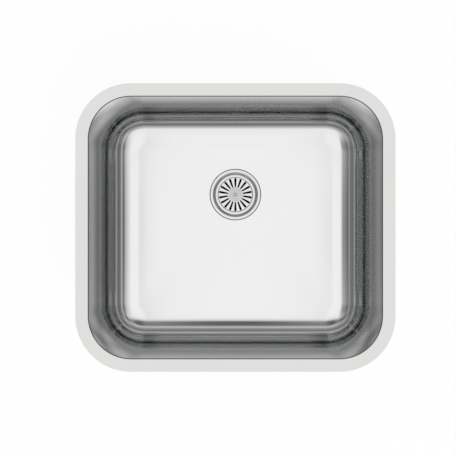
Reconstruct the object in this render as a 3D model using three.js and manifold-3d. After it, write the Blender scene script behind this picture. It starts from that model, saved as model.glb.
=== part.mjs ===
// An undermount kitchen sink: one pressed bowl with a flat fixing flange, sound-deadening pads bonded
// to its outside, and a basket strainer waste clamped through its outlet, down to the tail pipe.
//
// Millimetres, +Z up. The origin is the centre of the bowl opening in the plane of the flange's top
// face. +X runs along the bowl's length and +Y to the rear, the side that the outlet lies nearer to.

import * as THREE from 'three';
import { mergeVertices } from 'three/addons/utils/BufferGeometryUtils.js';
import Module from 'manifold-3d';

// ---- Driving dimensions ------------------------------------------------------------------------

// The pressed bowl
const OPENING_LENGTH = 540; // inside the bowl, along X
const OPENING_WIDTH = 482; // inside the bowl, along Y
const OPENING_CORNER_R = 79; // upright corners, seen from above
const FLANGE_WIDTH = 23; // flat rim that is clamped under the worktop
const BOWL_DEPTH = 226; // from the flange's top to the floor at the foot of the walls
const FLOOR_FILLET_R = 48; // the bend from wall to floor
const RIM_BEND_R = 3; // the bend from flange to wall
const SHEET = 1.2; // thickness of the bowl's steel
const FLOOR_FALL = 2; // how far the floor falls from the walls to the outlet
const OUTLET_REAR_OFFSET = 71; // outlet axis behind the middle of the bowl
const OUTLET_HOLE_R = 45; // standard 90 mm strainer hole
const RECESS_MARGIN = 2; // floor recess around the strainer flange
const RECESS_DRAFT = 1; // slope of the recess wall, in plan

// Fits between pieces
const SEAT_GAP = 0.3; // between a piece and what it rests on
const RUN_CLEARANCE = 0.3; // round a piece that slides or is screwed on

// Sound-deadening pads
const PAD_THICKNESS = 3;
const PAD_CORNER_R = 12;
const WALL_PAD_END_MARGIN = 22; // from the wall's rounded corner to the pad's end
const WALL_PAD_DROP = 45; // from the flange's top to the pad's top edge
const WALL_PAD_FOOT_MARGIN = 13; // from the pad's lower edge to the bend into the floor
const END_FLOOR_PAD_WIDTH = 92; // along X, under the left and right ends of the floor
const END_FLOOR_PAD_MARGIN = 13; // from the flat floor's front and rear edges to the pad's ends
const FRONT_FLOOR_PAD_WIDTH = 116; // along Y
const FLOOR_PAD_EDGE_MARGIN = 8; // from the flat floor's edge to a pad's long side
const FLOOR_PAD_SPACING = 7; // between two floor pads

// Strainer body
const STRAINER_FLANGE_R = 54;
const STRAINER_SHEET = 1; // thickness of the strainer's steel
const STRAINER_MOUTH_R = 47.5; // where the flat of its flange ends
const STRAINER_FLUSH_DROP = 0.6; // flange top under the floor, so that water drains
const NECK_CLEARANCE = 0.4; // neck to the sink's hole
const SHOULDER_DROP = 3.2; // height of the slope from mouth to neck
const LEDGE_DEPTH = 6; // basket ledge under the flange's top
const LEDGE_WIDTH = 4.1;
const CUP_DEPTH = 38; // straight wall of the cup, under the flange's top
const CUP_CONE_DEPTH = 5; // height of the cone at the cup's foot
const STOPPER_SEAT_R = 28.5; // outer edge of the flat seat round the outlet bore
const NIPPLE_R = 23; // outside of the threaded nipple
const NIPPLE_WALL = 2.2;
const NIPPLE_LENGTH = 22;

// Seals and nut that clamp the strainer to the floor
const FLANGE_GASKET_THICKNESS = 1.8;
const FLANGE_GASKET_SETBACK = 1; // from the edge of the strainer's flange
const FLANGE_GASKET_WIDTH = 3.6;
const UNDER_GASKET_THICKNESS = 3;
const UNDER_GASKET_R = 56;
const FRICTION_RING_THICKNESS = 1;
const FRICTION_RING_R = 55;
const LOCK_NUT_FLANGE_R = 54;
const LOCK_NUT_FLANGE_THICKNESS = 2.5;
const LOCK_NUT_HEIGHT = 13;
const LOCK_NUT_WALL = 5;
const LOCK_NUT_LUGS = 8;
const LOCK_NUT_LUG_HEIGHT = 4.5; // how far a lug stands out

// Tail pipe and its coupling
const TAIL_R = 19; // 38 mm pipe
const TAIL_WALL = 1.2;
const TAIL_LENGTH = 80; // under its flange
const TAIL_FLANGE_WIDTH = 3.4;
const TAIL_FLANGE_THICKNESS = 2;
const TAIL_WASHER_THICKNESS = 2;
const COUPLING_NUT_WALL = 4;
const COUPLING_NUT_GRIP = 13; // how far it reaches up the nipple
const COUPLING_NUT_LIP = 3; // thickness of the lip under the tail's flange
const COUPLING_NUT_LUGS = 6;
const COUPLING_NUT_LUG_HEIGHT = 3;
const LUG_TOP_SHARE = 1 / 3; // of the pitch from one lug to the next
const LUG_FLANK_SHARE = 1 / 6; // each of a lug's two slopes

// Basket: a rim, a step down and a slotted plate
const BASKET_CLEARANCE = 1.2; // basket rim to the neck
const BASKET_SHEET = 0.9;
const BASKET_RIM_WIDTH = 4.8;
const BASKET_STEP_WIDTH = 0.9;
const BASKET_STEP_DROP = 1.6;
const SLOT_COUNT = 18;
const SLOT_INNER_END_R = 16; // from the basket's axis to the slot's inner end
const SLOT_EDGE_MARGIN = 0.8; // from the slot's outer end to the plate's edge
const SLOT_INNER_WIDTH = 2.6;
const SLOT_OUTER_WIDTH = 4.7;
const PLATE_HOLE_R = 3.4; // the hole that the plunger's pin stands in

// Plunger: a pin with the rubber stopper on its lower end
const PIN_R = 1.7;
const PIN_STAND = 5; // how far its tip stands above the slotted plate
const PLUNGER_TRAVEL = 10;
const CAGE_R = 8;
const CAGE_WALL = 1.2;
const CLIP_R = 4.6;
const CLIP_THICKNESS = 1;
const CLIP_GROOVE_DEPTH = 0.5;
const CLIP_MOUTH_ANGLE = THREE.MathUtils.degToRad(50);
const COLLAR_R = 4;
const COLLAR_HEIGHT = 2;
const STOPPER_OVERLAP = 5; // the rubber disc over the outlet bore, all round
const STOPPER_THICKNESS = 3.5;
const STOPPER_PLATE_R = 14;
const STOPPER_PLATE_THICKNESS = 1;
const STOPPER_WASHER_R = 6;
const STOPPER_WASHER_THICKNESS = 0.8;
const STOPPER_NUT_R = 3.8; // over its corners
const STOPPER_NUT_HEIGHT = 3;
const PIN_END_LENGTH = 1.5; // thread left standing under the nut

// How finely curves are cut into flats
const CORNER_STEPS = 10; // in a quarter turn of the bowl's outline
const FILLET_STEPS = 6;
const RIM_BEND_STEPS = 2;
const ROUND_STEPS = 48; // in a full turn of a large turned piece
const SMALL_ROUND_STEPS = 24; // in a full turn of a small one
const PAD_CORNER_STEPS = 2;
const LUG_ARC_STEPS = 2;
const SLOT_END_STEPS = 3;
const CLIP_ARC_STEPS = 8;

const FULL_TURN = 2 * Math.PI;
const HALF_TURN = Math.PI;
const RIGHT_ANGLE = Math.PI / 2;
const HEX_SIDES = 6;
const QUARTERS = 4;

// ---- Heights and radii that follow from them ---------------------------------------------------

const floorZ = -BOWL_DEPTH;
const outletZ = floorZ - FLOOR_FALL;
const strainerTopZ = outletZ - STRAINER_FLUSH_DROP;
const strainerFlangeUnderZ = strainerTopZ - STRAINER_SHEET;
const flangeGasketTopZ = strainerFlangeUnderZ - SEAT_GAP;
const recessZ = flangeGasketTopZ - FLANGE_GASKET_THICKNESS - SEAT_GAP;
const recessUnderZ = recessZ - SHEET;
const recessR = STRAINER_FLANGE_R + RECESS_MARGIN;

const neckR = OUTLET_HOLE_R - NECK_CLEARANCE; // outside
const neckBoreR = neckR - STRAINER_SHEET;
const ledgeZ = strainerTopZ - LEDGE_DEPTH;
const cupBoreR = neckBoreR - LEDGE_WIDTH;
const cupR = cupBoreR + STRAINER_SHEET; // outside, where the lock nut runs
const cupFootZ = strainerTopZ - CUP_DEPTH;
const stopperSeatZ = cupFootZ - CUP_CONE_DEPTH;
const outletBoreR = NIPPLE_R - NIPPLE_WALL;
const nippleEndZ = stopperSeatZ - NIPPLE_LENGTH;

const basketR = neckBoreR - BASKET_CLEARANCE;
const basketRimZ = ledgeZ + SEAT_GAP; // underside of the rim
const basketRimInnerR = basketR - BASKET_RIM_WIDTH;
const plateR = basketRimInnerR - BASKET_STEP_WIDTH;
const plateUnderZ = basketRimZ - BASKET_STEP_DROP;
const plateTopZ = plateUnderZ + BASKET_SHEET;

const cageTopZ = plateUnderZ - SEAT_GAP;
const cageFloorZ = plateUnderZ - PLUNGER_TRAVEL - CLIP_THICKNESS - 2 * SEAT_GAP;
const clipZ = cageFloorZ + SEAT_GAP; // underside of the clip
const stopperZ = stopperSeatZ + SEAT_GAP; // underside of the rubber disc
const stopperR = outletBoreR + STOPPER_OVERLAP;
const stopperPlateZ = stopperZ + STOPPER_THICKNESS + SEAT_GAP;
const collarZ = stopperPlateZ + STOPPER_PLATE_THICKNESS + SEAT_GAP;
const stopperWasherZ = stopperZ - SEAT_GAP - STOPPER_WASHER_THICKNESS;
const stopperNutZ = stopperWasherZ - SEAT_GAP - STOPPER_NUT_HEIGHT;
const pinHoleR = PIN_R + RUN_CLEARANCE;

// ---- Solids ------------------------------------------------------------------------------------

const manifold = await Module();
manifold.setup();

// A closed geometry as a solid that can be joined to others and cut by them.
function solidOf(geometry) {
  const bare = geometry.clone();
  bare.deleteAttribute('normal');
  bare.deleteAttribute('uv');
  const merged = mergeVertices(bare);
  const mesh = new manifold.Mesh({
    numProp: 3,
    vertProperties: new Float32Array(merged.attributes.position.array),
    triVerts: new Uint32Array(merged.index.array),
  });
  return new manifold.Manifold(mesh);
}

// A solid back as a geometry.
function geometryOf(solid) {
  const mesh = solid.getMesh();
  const geometry = new THREE.BufferGeometry();
  geometry.setAttribute('position', new THREE.BufferAttribute(mesh.vertProperties, mesh.numProp));
  geometry.setIndex(new THREE.BufferAttribute(mesh.triVerts, 1));
  geometry.computeVertexNormals();
  return geometry;
}

// A ring or disc turned about Z from its section, a loop of [radius, z] corners.
function turned(section, steps = ROUND_STEPS) {
  const loop = [...section, section[0]].map(([radius, z]) => new THREE.Vector2(radius, z));
  return new THREE.LatheGeometry(loop, steps).rotateX(RIGHT_ANGLE);
}

// A flat ring with its underside at z.
function ring(innerR, outerR, z, height, steps = ROUND_STEPS) {
  const section = [
    [innerR, z],
    [outerR, z],
    [outerR, z + height],
    [innerR, z + height],
  ];
  return turned(section, steps);
}

// An outline raised to a plate with its underside at z.
function plate(outline, z, height, curveSegments = 1) {
  const options = { depth: height, bevelEnabled: false, curveSegments };
  return new THREE.ExtrudeGeometry(outline, options).translate(0, 0, z);
}

// A sheet closed on itself: each ring of points is joined to the next, and the last to the first.
function loft(rings) {
  const count = rings[0].length;
  const points = rings.flat();
  const index = [];
  for (let level = 0; level < rings.length; level += 1) {
    const low = level * count;
    const high = ((level + 1) % rings.length) * count;
    for (let here = 0; here < count; here += 1) {
      const next = (here + 1) % count;
      index.push(low + here, low + next, high + next);
      index.push(low + here, high + next, high + here);
    }
  }
  const geometry = new THREE.BufferGeometry().setFromPoints(points);
  geometry.setIndex(index);
  geometry.computeVertexNormals();
  return geometry;
}

// ---- The bowl ----------------------------------------------------------------------------------

// The opening's outline at one height, grown outwards by grow.
function bowlRing(grow, z) {
  const radius = OPENING_CORNER_R + grow;
  const points = [];
  for (let quarter = 0; quarter < QUARTERS; quarter += 1) {
    const diagonal = (quarter + 0.5) * RIGHT_ANGLE;
    const centreX = Math.sign(Math.cos(diagonal)) * (OPENING_LENGTH / 2 - OPENING_CORNER_R);
    const centreY = Math.sign(Math.sin(diagonal)) * (OPENING_WIDTH / 2 - OPENING_CORNER_R);
    for (let step = 0; step <= CORNER_STEPS; step += 1) {
      const angle = (quarter + step / CORNER_STEPS) * RIGHT_ANGLE;
      const x = centreX + radius * Math.cos(angle);
      const y = centreY + radius * Math.sin(angle);
      points.push(new THREE.Vector3(x, y, z));
    }
  }
  return points;
}

// A circle round the outlet at one height, with as many points as the bowl's outline.
function outletRing(radius, z) {
  const count = QUARTERS * (CORNER_STEPS + 1);
  const points = [];
  for (let step = 0; step < count; step += 1) {
    const angle = ((step + 0.5) / count) * FULL_TURN;
    const x = radius * Math.cos(angle);
    const y = OUTLET_REAR_OFFSET + radius * Math.sin(angle);
    points.push(new THREE.Vector3(x, y, z));
  }
  return points;
}

// One face of the sheet, from the flange's edge to the outlet hole, set under the upper face by depth.
function bowlSkin(depth) {
  const rings = [bowlRing(FLANGE_WIDTH, -depth)];
  for (let step = 0; step <= RIM_BEND_STEPS; step += 1) {
    const angle = (step / RIM_BEND_STEPS) * RIGHT_ANGLE;
    const bend = RIM_BEND_R - depth;
    rings.push(bowlRing(RIM_BEND_R - bend * Math.sin(angle), -RIM_BEND_R + bend * Math.cos(angle)));
  }
  for (let step = 0; step <= FILLET_STEPS; step += 1) {
    const angle = (step / FILLET_STEPS) * RIGHT_ANGLE;
    const bend = FLOOR_FILLET_R + depth;
    const grow = -FLOOR_FILLET_R + bend * Math.cos(angle);
    rings.push(bowlRing(grow, floorZ + FLOOR_FILLET_R - bend * Math.sin(angle)));
  }
  rings.push(outletRing(recessR + depth, outletZ - depth));
  rings.push(outletRing(recessR + depth - RECESS_DRAFT, recessZ - depth));
  rings.push(outletRing(OUTLET_HOLE_R, recessZ - depth));
  return rings;
}

function makeBowl() {
  return loft([...bowlSkin(0), ...bowlSkin(SHEET).reverse()]);
}

// ---- Pads --------------------------------------------------------------------------------------

// A pad of the given size, centred on the origin, from its bonded face at z = 0 up to its outer face.
function makePad(length, width) {
  const x = length / 2 - PAD_CORNER_R;
  const y = width / 2 - PAD_CORNER_R;
  const outline = new THREE.Shape();
  outline.absarc(x, y, PAD_CORNER_R, 0, RIGHT_ANGLE);
  outline.absarc(-x, y, PAD_CORNER_R, RIGHT_ANGLE, HALF_TURN);
  outline.absarc(-x, -y, PAD_CORNER_R, HALF_TURN, HALF_TURN + RIGHT_ANGLE);
  outline.absarc(x, -y, PAD_CORNER_R, HALF_TURN + RIGHT_ANGLE, FULL_TURN);
  return plate(outline, 0, PAD_THICKNESS, PAD_CORNER_STEPS);
}

// How far the floor has fallen at a distance from its edge, on a way to the outlet of length run.
function fallAt(distance, run) {
  return FLOOR_FALL * (distance / run);
}

// ---- Strainer waste ----------------------------------------------------------------------------

function makeStrainerBody() {
  const slopeEdgeR = STRAINER_MOUTH_R + STRAINER_SHEET;
  const upper = [
    [STRAINER_FLANGE_R, strainerTopZ],
    [STRAINER_MOUTH_R, strainerTopZ],
    [neckBoreR, strainerTopZ - SHOULDER_DROP],
    [neckBoreR, ledgeZ],
    [cupBoreR, ledgeZ],
    [cupBoreR, cupFootZ],
    [STOPPER_SEAT_R, stopperSeatZ],
    [outletBoreR, stopperSeatZ],
    [outletBoreR, nippleEndZ],
  ];
  const under = [
    [NIPPLE_R, nippleEndZ],
    [NIPPLE_R, stopperSeatZ - STRAINER_SHEET],
    [STOPPER_SEAT_R, stopperSeatZ - STRAINER_SHEET],
    [cupR, cupFootZ - STRAINER_SHEET / 2],
    [cupR, ledgeZ - STRAINER_SHEET],
    [neckR, ledgeZ - STRAINER_SHEET],
    [neckR, strainerTopZ - SHOULDER_DROP],
    [slopeEdgeR, strainerFlangeUnderZ],
    [STRAINER_FLANGE_R, strainerFlangeUnderZ],
  ];
  return turned([...upper, ...under]);
}

function makeFlangeGasket() {
  const outerR = STRAINER_FLANGE_R - FLANGE_GASKET_SETBACK;
  const z = flangeGasketTopZ - FLANGE_GASKET_THICKNESS;
  return ring(outerR - FLANGE_GASKET_WIDTH, outerR, z, FLANGE_GASKET_THICKNESS);
}

const underGasketZ = recessUnderZ - SEAT_GAP - UNDER_GASKET_THICKNESS;
const frictionRingZ = underGasketZ - SEAT_GAP - FRICTION_RING_THICKNESS;
const lockNutTopZ = frictionRingZ - SEAT_GAP;

function makeUnderGasket() {
  return ring(neckR + RUN_CLEARANCE, UNDER_GASKET_R, underGasketZ, UNDER_GASKET_THICKNESS);
}

function makeFrictionRing() {
  return ring(cupR + RUN_CLEARANCE, FRICTION_RING_R, frictionRingZ, FRICTION_RING_THICKNESS);
}

// The corners of an even polygon, which is a circle when it has many sides.
function polygon(radius, sides) {
  const corners = [];
  for (let side = 0; side < sides; side += 1) {
    const angle = (side / sides) * FULL_TURN;
    corners.push(new THREE.Vector2(radius * Math.cos(angle), radius * Math.sin(angle)));
  }
  return corners;
}

// The outline of a nut that is turned by lugs, with its bore as a hole.
function luggedOutline(bodyR, lugHeight, lugCount, boreR) {
  const pitch = FULL_TURN / lugCount;
  const outline = new THREE.Shape();
  for (let lug = 0; lug < lugCount; lug += 1) {
    const start = lug * pitch;
    const topEnd = start + pitch * LUG_TOP_SHARE;
    const rootStart = topEnd + pitch * LUG_FLANK_SHARE;
    const rootEnd = start + pitch * (1 - LUG_FLANK_SHARE);
    outline.absarc(0, 0, bodyR + lugHeight, start, topEnd);
    outline.absarc(0, 0, bodyR, rootStart, rootEnd);
  }
  outline.closePath();
  outline.holes.push(new THREE.Path(polygon(boreR, ROUND_STEPS)));
  return outline;
}

function makeLockNut() {
  const boreR = cupR + RUN_CLEARANCE;
  const bodyR = boreR + LOCK_NUT_WALL;
  const outline = luggedOutline(bodyR, LOCK_NUT_LUG_HEIGHT, LOCK_NUT_LUGS, boreR);
  const body = plate(outline, lockNutTopZ - LOCK_NUT_HEIGHT, LOCK_NUT_HEIGHT, LUG_ARC_STEPS);
  const flangeZ = lockNutTopZ - LOCK_NUT_FLANGE_THICKNESS;
  const flange = ring(boreR, LOCK_NUT_FLANGE_R, flangeZ, LOCK_NUT_FLANGE_THICKNESS);
  return geometryOf(solidOf(body).add(solidOf(flange)));
}

// ---- Tail pipe ---------------------------------------------------------------------------------

const tailBoreR = TAIL_R - TAIL_WALL;
const tailFlangeR = TAIL_R + TAIL_FLANGE_WIDTH;
const tailWasherZ = nippleEndZ - SEAT_GAP - TAIL_WASHER_THICKNESS;
const tailTopZ = tailWasherZ - SEAT_GAP;
const tailFlangeUnderZ = tailTopZ - TAIL_FLANGE_THICKNESS;
const tailEndZ = tailFlangeUnderZ - TAIL_LENGTH;

function makeTailWasher() {
  return ring(tailBoreR, tailFlangeR, tailWasherZ, TAIL_WASHER_THICKNESS);
}

function makeTailpiece() {
  const section = [
    [tailBoreR, tailTopZ],
    [tailBoreR, tailEndZ],
    [TAIL_R, tailEndZ],
    [TAIL_R, tailFlangeUnderZ],
    [tailFlangeR, tailFlangeUnderZ],
    [tailFlangeR, tailTopZ],
  ];
  return turned(section);
}

function makeCouplingNut() {
  const boreR = NIPPLE_R + RUN_CLEARANCE;
  const bodyR = boreR + COUPLING_NUT_WALL;
  const topZ = nippleEndZ + COUPLING_NUT_GRIP;
  const lipTopZ = tailFlangeUnderZ - SEAT_GAP;
  const endZ = lipTopZ - COUPLING_NUT_LIP;
  const outline = luggedOutline(bodyR, COUPLING_NUT_LUG_HEIGHT, COUPLING_NUT_LUGS, boreR);
  const body = plate(outline, endZ, topZ - endZ, LUG_ARC_STEPS);
  const lip = ring(TAIL_R + RUN_CLEARANCE, bodyR, endZ, COUPLING_NUT_LIP);
  return geometryOf(solidOf(body).add(solidOf(lip)));
}

// ---- Basket ------------------------------------------------------------------------------------

// A radial slot, narrow at its inner end and wide at its outer end, with both ends round.
function slotOutline() {
  const innerEndR = SLOT_INNER_WIDTH / 2;
  const outerEndR = SLOT_OUTER_WIDTH / 2;
  const outerX = plateR - SLOT_EDGE_MARGIN - outerEndR;
  const outline = new THREE.Shape();
  outline.absarc(outerX, 0, outerEndR, -RIGHT_ANGLE, RIGHT_ANGLE);
  outline.absarc(SLOT_INNER_END_R + innerEndR, 0, innerEndR, RIGHT_ANGLE, HALF_TURN + RIGHT_ANGLE);
  outline.closePath();
  return outline;
}

function makeBasketShell() {
  const underStepR = plateR + BASKET_STEP_WIDTH / 2;
  const section = [
    [basketR, basketRimZ + BASKET_SHEET],
    [basketRimInnerR, basketRimZ + BASKET_SHEET],
    [plateR, plateTopZ],
    [PLATE_HOLE_R, plateTopZ],
    [PLATE_HOLE_R, plateUnderZ],
    [underStepR, plateUnderZ],
    [basketRimInnerR + BASKET_STEP_WIDTH / 2, basketRimZ],
    [basketR, basketRimZ],
  ];
  let shell = solidOf(turned(section));
  const cutterHeight = 3 * BASKET_SHEET;
  const cutterZ = plateUnderZ - BASKET_SHEET;
  for (let slot = 0; slot < SLOT_COUNT; slot += 1) {
    const cutter = plate(slotOutline(), cutterZ, cutterHeight, SLOT_END_STEPS);
    cutter.rotateZ(RIGHT_ANGLE + (slot / SLOT_COUNT) * FULL_TURN);
    shell = shell.subtract(solidOf(cutter));
  }
  return geometryOf(shell);
}

// ---- Plunger -----------------------------------------------------------------------------------

// The cage hangs under the slotted plate and traps the clip, so it stops the plunger both ways.
function makePlungerCage() {
  const boreR = CAGE_R - CAGE_WALL;
  const section = [
    [boreR, cageTopZ],
    [boreR, cageFloorZ],
    [pinHoleR, cageFloorZ],
    [pinHoleR, cageFloorZ - CAGE_WALL],
    [CAGE_R, cageFloorZ - CAGE_WALL],
    [CAGE_R, cageTopZ],
  ];
  return turned(section, SMALL_ROUND_STEPS);
}

function makePlungerPin() {
  const grooveR = PIN_R - CLIP_GROOVE_DEPTH;
  const section = [
    [0, stopperNutZ - PIN_END_LENGTH],
    [PIN_R, stopperNutZ - PIN_END_LENGTH],
    [PIN_R, collarZ],
    [COLLAR_R, collarZ],
    [COLLAR_R, collarZ + COLLAR_HEIGHT],
    [PIN_R, collarZ + COLLAR_HEIGHT],
    [PIN_R, clipZ - SEAT_GAP / 2],
    [grooveR, clipZ - SEAT_GAP / 2],
    [grooveR, clipZ + CLIP_THICKNESS + SEAT_GAP],
    [PIN_R, clipZ + CLIP_THICKNESS + SEAT_GAP],
    [PIN_R, plateTopZ + PIN_STAND - PIN_R / 2],
    [PIN_R / 2, plateTopZ + PIN_STAND],
    [0, plateTopZ + PIN_STAND],
  ];
  const profile = section.map(([radius, z]) => new THREE.Vector2(radius, z));
  return new THREE.LatheGeometry(profile, SMALL_ROUND_STEPS).rotateX(RIGHT_ANGLE);
}

// A spring clip, open on one side so that it can be pushed into the pin's groove.
function makePlungerClip() {
  const innerR = PIN_R - CLIP_GROOVE_DEPTH + RUN_CLEARANCE;
  const start = CLIP_MOUTH_ANGLE / 2;
  const outline = new THREE.Shape();
  outline.absarc(0, 0, CLIP_R, start, FULL_TURN - start);
  outline.absarc(0, 0, innerR, FULL_TURN - start, start, true);
  outline.closePath();
  return plate(outline, clipZ, CLIP_THICKNESS, CLIP_ARC_STEPS);
}

function makeStopperPlate() {
  return ring(pinHoleR, STOPPER_PLATE_R, stopperPlateZ, STOPPER_PLATE_THICKNESS, SMALL_ROUND_STEPS);
}

function makeStopperDisc() {
  return ring(pinHoleR, stopperR, stopperZ, STOPPER_THICKNESS);
}

function makeStopperWasher() {
  return ring(pinHoleR, STOPPER_WASHER_R, stopperWasherZ, STOPPER_WASHER_THICKNESS, SMALL_ROUND_STEPS);
}

function makeStopperNut() {
  const outline = new THREE.Shape(polygon(STOPPER_NUT_R, HEX_SIDES));
  outline.holes.push(new THREE.Path(polygon(pinHoleR, SMALL_ROUND_STEPS)));
  return plate(outline, stopperNutZ, STOPPER_NUT_HEIGHT);
}

// ---- Materials and assembly --------------------------------------------------------------------

function steel(colour, roughness) {
  return new THREE.MeshStandardMaterial({ color: colour, roughness, metalness: 1 });
}

function plain(colour, roughness) {
  return new THREE.MeshStandardMaterial({ color: colour, roughness, metalness: 0 });
}

const satinSteel = () => steel(0xc8c8c6, 0.3);
const polishedSteel = () => steel(0xd0d0ce, 0.2);
const castZinc = () => steel(0xb4b6b8, 0.45);
const blackRubber = () => plain(0x1b1b1c, 0.85);
const greyPad = () => plain(0x4a4c4e, 0.9);
const greyFibre = () => plain(0x9a9690, 0.95);
const whiteNylon = () => plain(0xe6e6e0, 0.5);

function addPiece(parent, name, geometry, material) {
  const mesh = new THREE.Mesh(geometry, material);
  mesh.name = name;
  parent.add(mesh);
  return mesh;
}

const sink = new THREE.Group();
addPiece(sink, 'sink_bowl', makeBowl(), satinSteel());

// Wall pads stand on edge against the outside of the bowl, each turned about Z to face its wall.
const wallPadHeight = BOWL_DEPTH - FLOOR_FILLET_R - WALL_PAD_DROP - WALL_PAD_FOOT_MARGIN;
const wallPads = new THREE.Group();
wallPads.position.z = -WALL_PAD_DROP - wallPadHeight / 2;
sink.add(wallPads);

function addWallPad(name, wallLength, wallDistance, turn) {
  const length = wallLength - 2 * (OPENING_CORNER_R + WALL_PAD_END_MARGIN);
  const pad = addPiece(wallPads, name, makePad(length, wallPadHeight), greyPad());
  const faceDistance = wallDistance + SHEET + SEAT_GAP;
  pad.geometry.rotateX(-RIGHT_ANGLE).translate(0, faceDistance, 0);
  pad.rotation.z = turn;
}

addWallPad('rear_wall_pad', OPENING_LENGTH, OPENING_WIDTH / 2, 0);
addWallPad('left_wall_pad', OPENING_WIDTH, OPENING_LENGTH / 2, RIGHT_ANGLE);
addWallPad('front_wall_pad', OPENING_LENGTH, OPENING_WIDTH / 2, HALF_TURN);
addWallPad('right_wall_pad', OPENING_WIDTH, OPENING_LENGTH / 2, -RIGHT_ANGLE);

// Floor pads lie flat under the floor, just under its lowest point above them.
const floorHalfLength = OPENING_LENGTH / 2 - FLOOR_FILLET_R;
const floorHalfWidth = OPENING_WIDTH / 2 - FLOOR_FILLET_R;

function addFloorPad(name, length, width, x, y, fall) {
  const pad = addPiece(sink, name, makePad(length, width), greyPad());
  pad.position.set(x, y, floorZ - SHEET - fall - SEAT_GAP - PAD_THICKNESS);
}

const endPadReach = FLOOR_PAD_EDGE_MARGIN + END_FLOOR_PAD_WIDTH;
const endPadFall = fallAt(endPadReach, floorHalfLength - recessR);
const endPadX = floorHalfLength - FLOOR_PAD_EDGE_MARGIN - END_FLOOR_PAD_WIDTH / 2;
const endPadLength = 2 * (floorHalfWidth - END_FLOOR_PAD_MARGIN);
addFloorPad('left_floor_pad', END_FLOOR_PAD_WIDTH, endPadLength, -endPadX, 0, endPadFall);
addFloorPad('right_floor_pad', END_FLOOR_PAD_WIDTH, endPadLength, endPadX, 0, endPadFall);

const frontPadReach = FLOOR_PAD_EDGE_MARGIN + FRONT_FLOOR_PAD_WIDTH;
const frontPadFall = fallAt(frontPadReach, floorHalfWidth + OUTLET_REAR_OFFSET - recessR);
const frontPadLength = 2 * (floorHalfLength - endPadReach - FLOOR_PAD_SPACING);
const frontPadY = -(floorHalfWidth - FLOOR_PAD_EDGE_MARGIN - FRONT_FLOOR_PAD_WIDTH / 2);
addFloorPad('front_floor_pad', frontPadLength, FRONT_FLOOR_PAD_WIDTH, 0, frontPadY, frontPadFall);

// The waste stands on the outlet's axis.
const waste = new THREE.Group();
waste.position.y = OUTLET_REAR_OFFSET;
sink.add(waste);
addPiece(waste, 'flange_gasket', makeFlangeGasket(), blackRubber());
addPiece(waste, 'strainer_body', makeStrainerBody(), polishedSteel());
addPiece(waste, 'under_gasket', makeUnderGasket(), blackRubber());
addPiece(waste, 'friction_ring', makeFrictionRing(), greyFibre());
addPiece(waste, 'lock_nut', makeLockNut(), castZinc());
addPiece(waste, 'tail_washer', makeTailWasher(), whiteNylon());
addPiece(waste, 'tailpiece', makeTailpiece(), polishedSteel());
addPiece(waste, 'coupling_nut', makeCouplingNut(), castZinc());

// The basket lifts out with the plunger that hangs in it.
const basket = new THREE.Group();
waste.add(basket);
addPiece(basket, 'basket_shell', makeBasketShell(), polishedSteel());
addPiece(basket, 'plunger_cage', makePlungerCage(), whiteNylon());
addPiece(basket, 'plunger_pin', makePlungerPin(), polishedSteel());
addPiece(basket, 'plunger_clip', makePlungerClip(), polishedSteel());
addPiece(basket, 'stopper_plate', makeStopperPlate(), polishedSteel());
addPiece(basket, 'stopper_disc', makeStopperDisc(), blackRubber());
addPiece(basket, 'stopper_washer', makeStopperWasher(), polishedSteel());
addPiece(basket, 'stopper_nut', makeStopperNut(), polishedSteel());

export default sink;
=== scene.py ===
# %% [markdown]
# # An undermount kitchen sink
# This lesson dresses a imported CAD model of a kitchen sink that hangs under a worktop: one pressed steel
# bowl, sound-deadening pads on its outside, and a basket strainer with its tail pipe. The CAD gives every
# piece its size and place, in metres, with the middle of the bowl's opening at the origin and +Z up. Each
# step below makes one piece smoother and finer than the CAD solid and gives it a finish made of nodes.

# %% Load the CAD model
import math

import bmesh
import bpy
from mathutils import Matrix, Vector


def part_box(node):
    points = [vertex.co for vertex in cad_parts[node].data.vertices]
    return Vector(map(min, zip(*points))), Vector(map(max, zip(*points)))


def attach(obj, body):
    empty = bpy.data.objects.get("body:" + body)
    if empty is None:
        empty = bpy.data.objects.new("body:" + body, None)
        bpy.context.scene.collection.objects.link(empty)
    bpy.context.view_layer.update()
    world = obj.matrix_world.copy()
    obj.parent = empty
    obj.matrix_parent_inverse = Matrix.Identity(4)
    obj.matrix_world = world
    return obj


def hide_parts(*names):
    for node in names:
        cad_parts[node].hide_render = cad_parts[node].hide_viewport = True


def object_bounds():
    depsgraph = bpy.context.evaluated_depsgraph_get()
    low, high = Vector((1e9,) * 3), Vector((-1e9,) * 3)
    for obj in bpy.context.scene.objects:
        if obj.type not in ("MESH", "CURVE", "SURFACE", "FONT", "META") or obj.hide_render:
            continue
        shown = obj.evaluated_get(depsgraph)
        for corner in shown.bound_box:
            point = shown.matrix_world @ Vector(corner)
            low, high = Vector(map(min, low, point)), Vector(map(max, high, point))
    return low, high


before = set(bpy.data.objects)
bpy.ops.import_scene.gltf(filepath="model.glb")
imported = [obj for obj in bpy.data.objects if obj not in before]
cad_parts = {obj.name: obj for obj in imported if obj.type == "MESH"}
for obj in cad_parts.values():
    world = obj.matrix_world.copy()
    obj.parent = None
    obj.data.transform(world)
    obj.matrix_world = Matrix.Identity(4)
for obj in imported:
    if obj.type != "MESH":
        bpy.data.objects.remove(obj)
cad_low, cad_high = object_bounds()
print("CAD box, metres:", list(cad_low), list(cad_high))

# %% [markdown]
# ## Camera first
# A product photograph of a sink is often taken from straight above. The far floor of the bowl then looks
# smaller than the opening, and how much smaller gives the distance of the camera: about 1.3 metres above
# the flange. A small shift of the lens puts the sink where the picture has it.

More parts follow.
